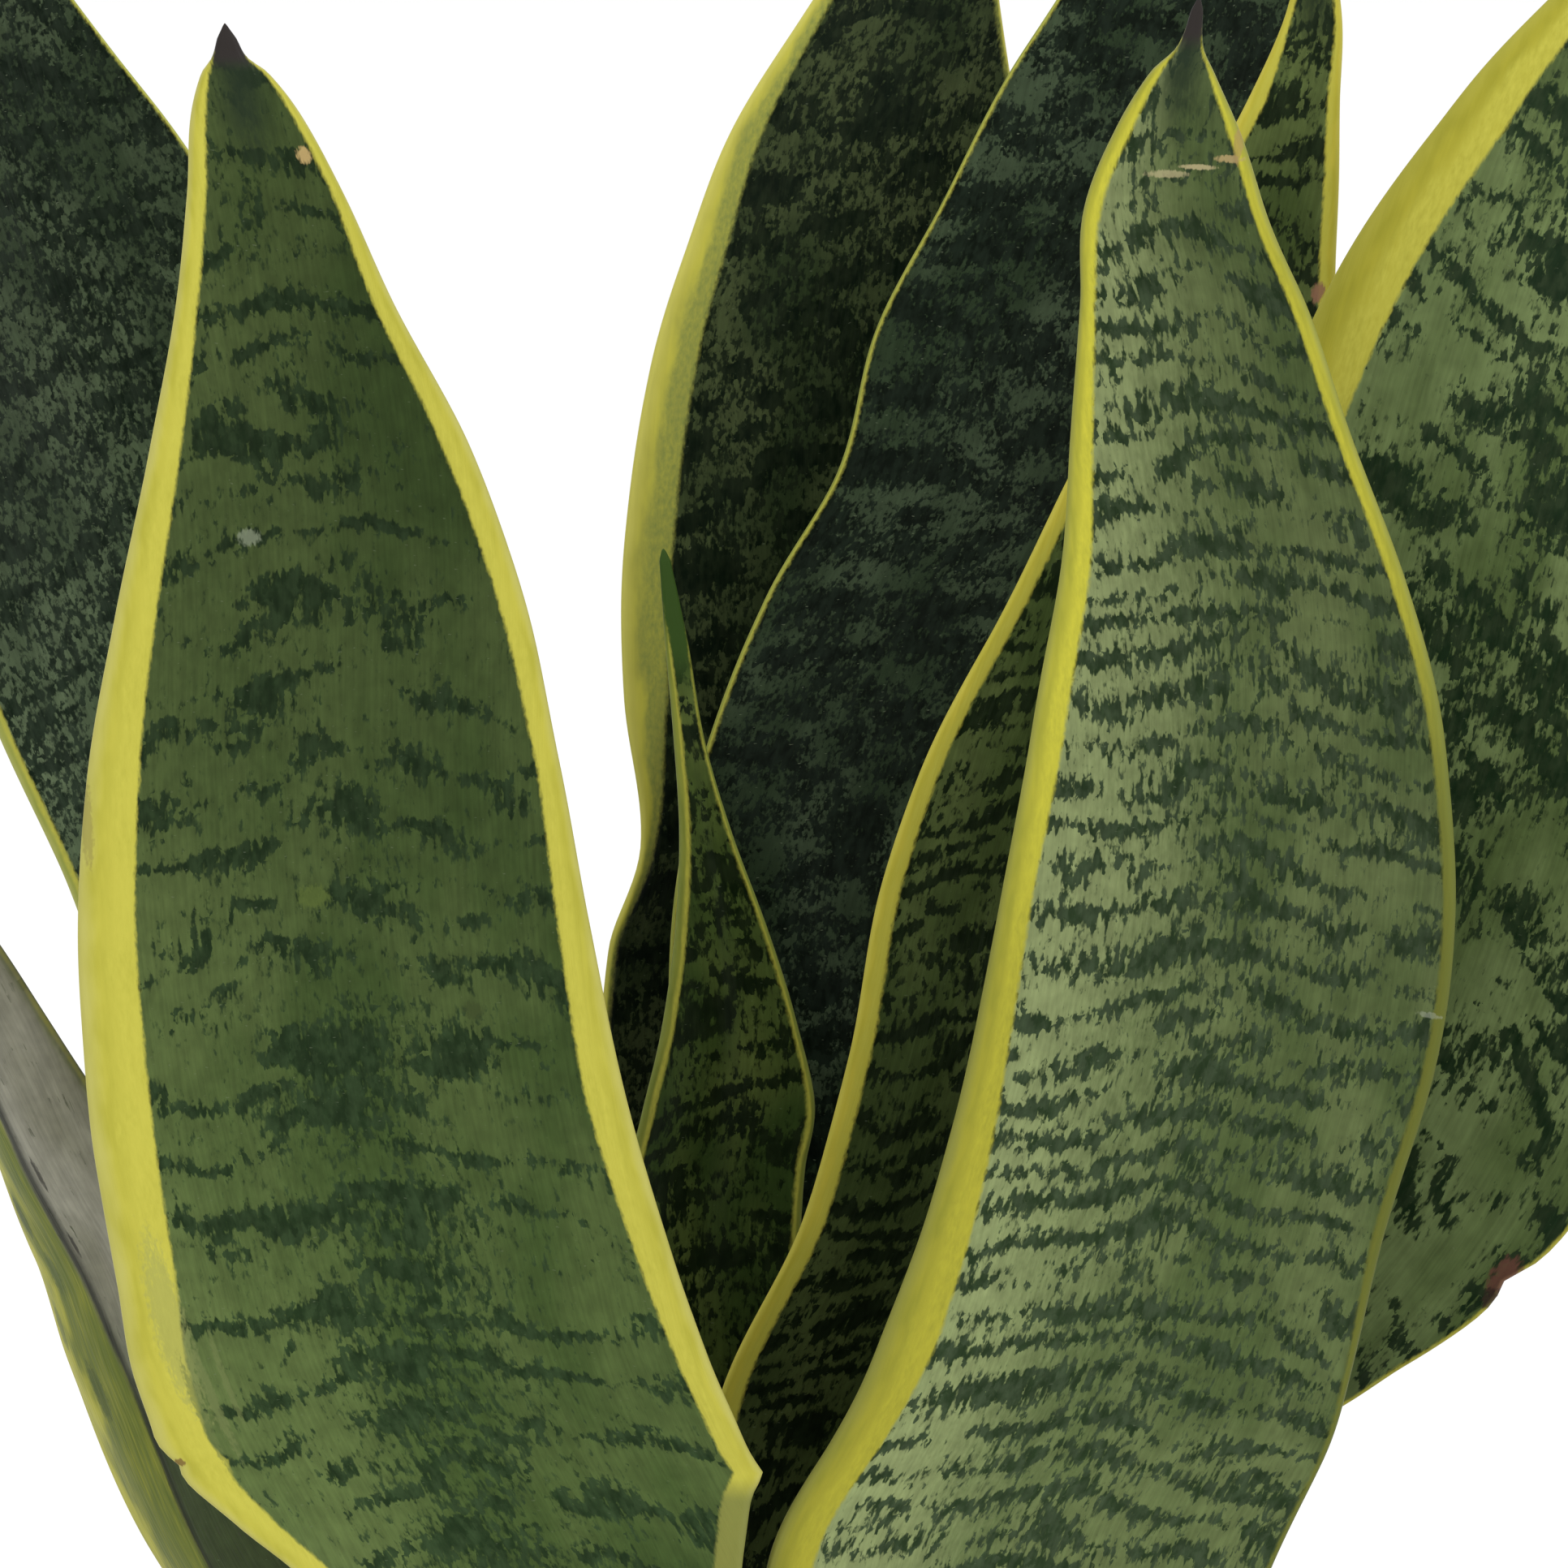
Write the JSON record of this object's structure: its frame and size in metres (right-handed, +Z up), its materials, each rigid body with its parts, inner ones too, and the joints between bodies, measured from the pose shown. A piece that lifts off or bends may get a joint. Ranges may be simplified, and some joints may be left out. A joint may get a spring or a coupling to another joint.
{
  "type": "potted snake plant",
  "caption": "Snake plant with broad upright leaves, dark green crossbands and yellow margins, rooted in soil in a plain tapered clay pot with a rim band.",
  "frame": {"origin": "middle of the pot's flat underside", "axes": "+Z up along the pot's axis, the plant's tallest direction; -Y is the front that the two broadest leaves face; +X is to the right of that front"},
  "size_m": [0.2512, 0.138, 0.4035],
  "materials": {
    "fired_clay": "matte",
    "potting_mix": "matte",
    "leaf_olive": "satin",
    "leaf_sage": "satin",
    "leaf_dark": "satin",
    "leaf_sheath": "matte"
  },
  "bodies": {
    "root": {"pot": "fired_clay", "soil": "potting_mix", "leaf_front_left": "leaf_olive", "leaf_front_right": "leaf_sage", "leaf_low_left": "leaf_dark", "leaf_right": "leaf_olive", "leaf_behind_right": "leaf_dark", "leaf_young": "leaf_olive", "leaf_dark_middle": "leaf_dark", "leaf_tall_back": "leaf_dark", "leaf_back_left": "leaf_dark", "scale_leaf_front": "leaf_sheath", "scale_leaf_left": "leaf_sheath", "scale_leaf_right": "leaf_sheath", "scale_leaf_back": "leaf_sheath"}
  },
  "joints": []
}
